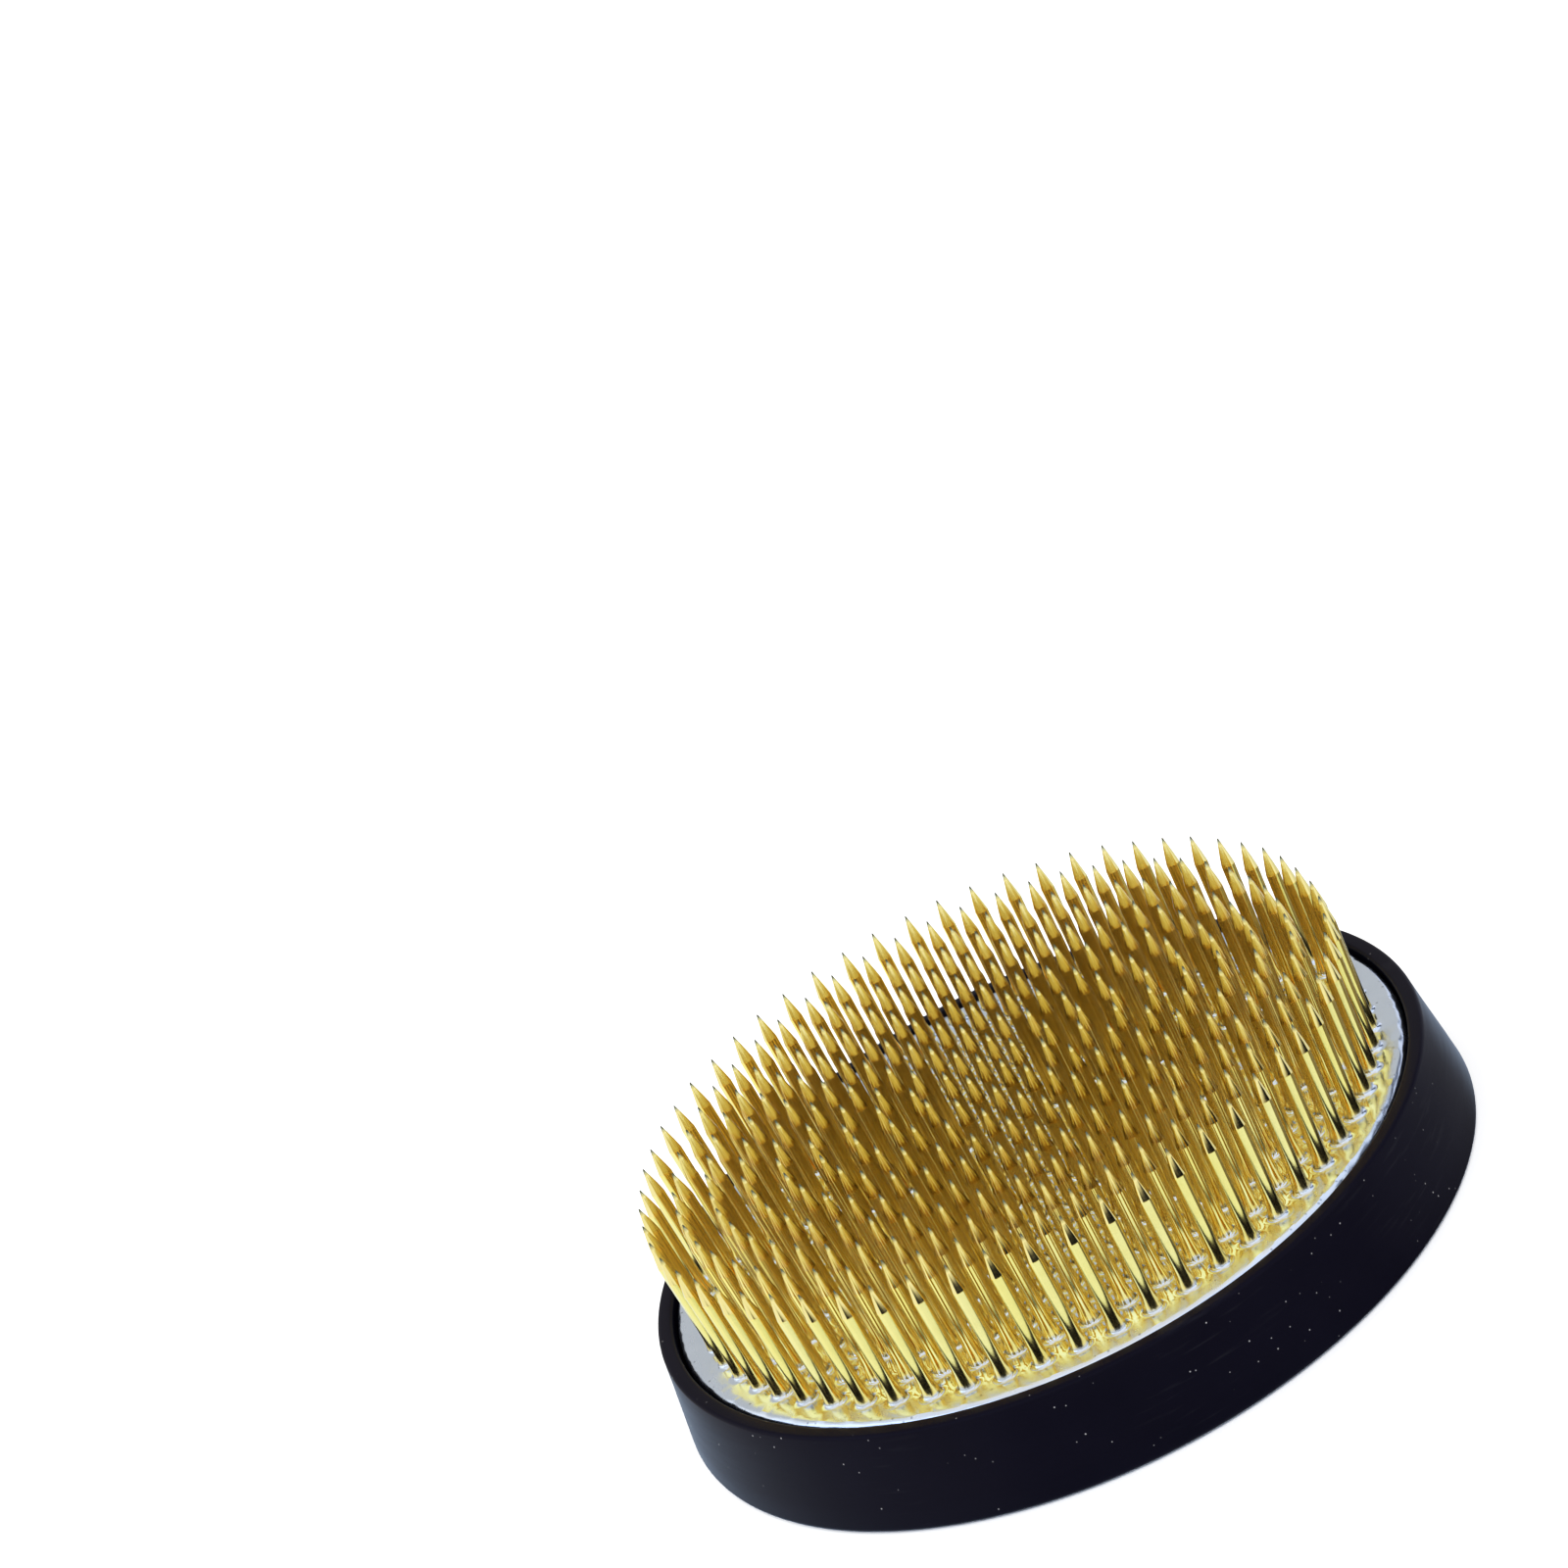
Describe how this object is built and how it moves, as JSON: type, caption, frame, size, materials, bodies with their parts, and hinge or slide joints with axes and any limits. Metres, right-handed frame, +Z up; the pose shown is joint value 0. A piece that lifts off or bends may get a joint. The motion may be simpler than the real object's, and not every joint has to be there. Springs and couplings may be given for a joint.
{
  "type": "flower frog",
  "caption": "Round flower frog that holds cut stems upright: pointed brass pins in concentric rings on a heavy lead-alloy base, inside a black rubber ring.",
  "frame": {"origin": "centre of the face that the rubber ring stands on", "axes": "+Z up along the centre pin; six radial lines of pins run out from the axis, one of them along +X"},
  "size_m": [0.0868, 0.0868, 0.0243],
  "materials": {
    "rubber": "satin navy-black moulded rubber",
    "lead_alloy": "bright cast lead alloy, mirror-like where it wets the pins",
    "brass": "polished drawn brass wire"
  },
  "bodies": {
    "root": {"rubber_ring": "rubber", "lead_base": "lead_alloy", "pin_centre": "brass", "pin_ring01_01": "brass", "pin_ring01_02": "brass", "pin_ring01_03": "brass", "pin_ring01_04": "brass", "pin_ring01_05": "brass", "pin_ring01_06": "brass", "pin_ring02_01": "brass", "pin_ring02_02": "brass", "pin_ring02_03": "brass", "pin_ring02_04": "brass", "pin_ring02_05": "brass", "pin_ring02_06": "brass", "pin_ring02_07": "brass", "pin_ring02_08": "brass", "pin_ring02_09": "brass", "pin_ring02_10": "brass", "pin_ring02_11": "brass", "pin_ring02_12": "brass", "pin_ring03_01": "brass", "pin_ring03_02": "brass", "pin_ring03_03": "brass", "pin_ring03_04": "brass", "pin_ring03_05": "brass", "pin_ring03_06": "brass", "pin_ring03_07": "brass", "pin_ring03_08": "brass", "pin_ring03_09": "brass", "pin_ring03_10": "brass", "pin_ring03_11": "brass", "pin_ring03_12": "brass", "pin_ring03_13": "brass", "pin_ring03_14": "brass", "pin_ring03_15": "brass", "pin_ring03_16": "brass", "pin_ring03_17": "brass", "pin_ring03_18": "brass", "pin_ring04_arc1": "brass", "pin_ring04_arc2": "brass", "pin_ring04_arc3": "brass", "pin_ring05_arc1": "brass", "pin_ring05_arc2": "brass", "pin_ring05_arc3": "brass", "pin_ring06_arc1": "brass", "pin_ring06_arc2": "brass", "pin_ring06_arc3": "brass", "pin_ring07_arc1": "brass", "pin_ring07_arc2": "brass", "pin_ring07_arc3": "brass", "pin_ring08_arc1": "brass", "pin_ring08_arc2": "brass", "pin_ring08_arc3": "brass", "pin_ring09_arc1": "brass", "pin_ring09_arc2": "brass", "pin_ring09_arc3": "brass", "pin_ring10_arc1": "brass", "pin_ring10_arc2": "brass", "pin_ring10_arc3": "brass"}
  },
  "joints": []
}
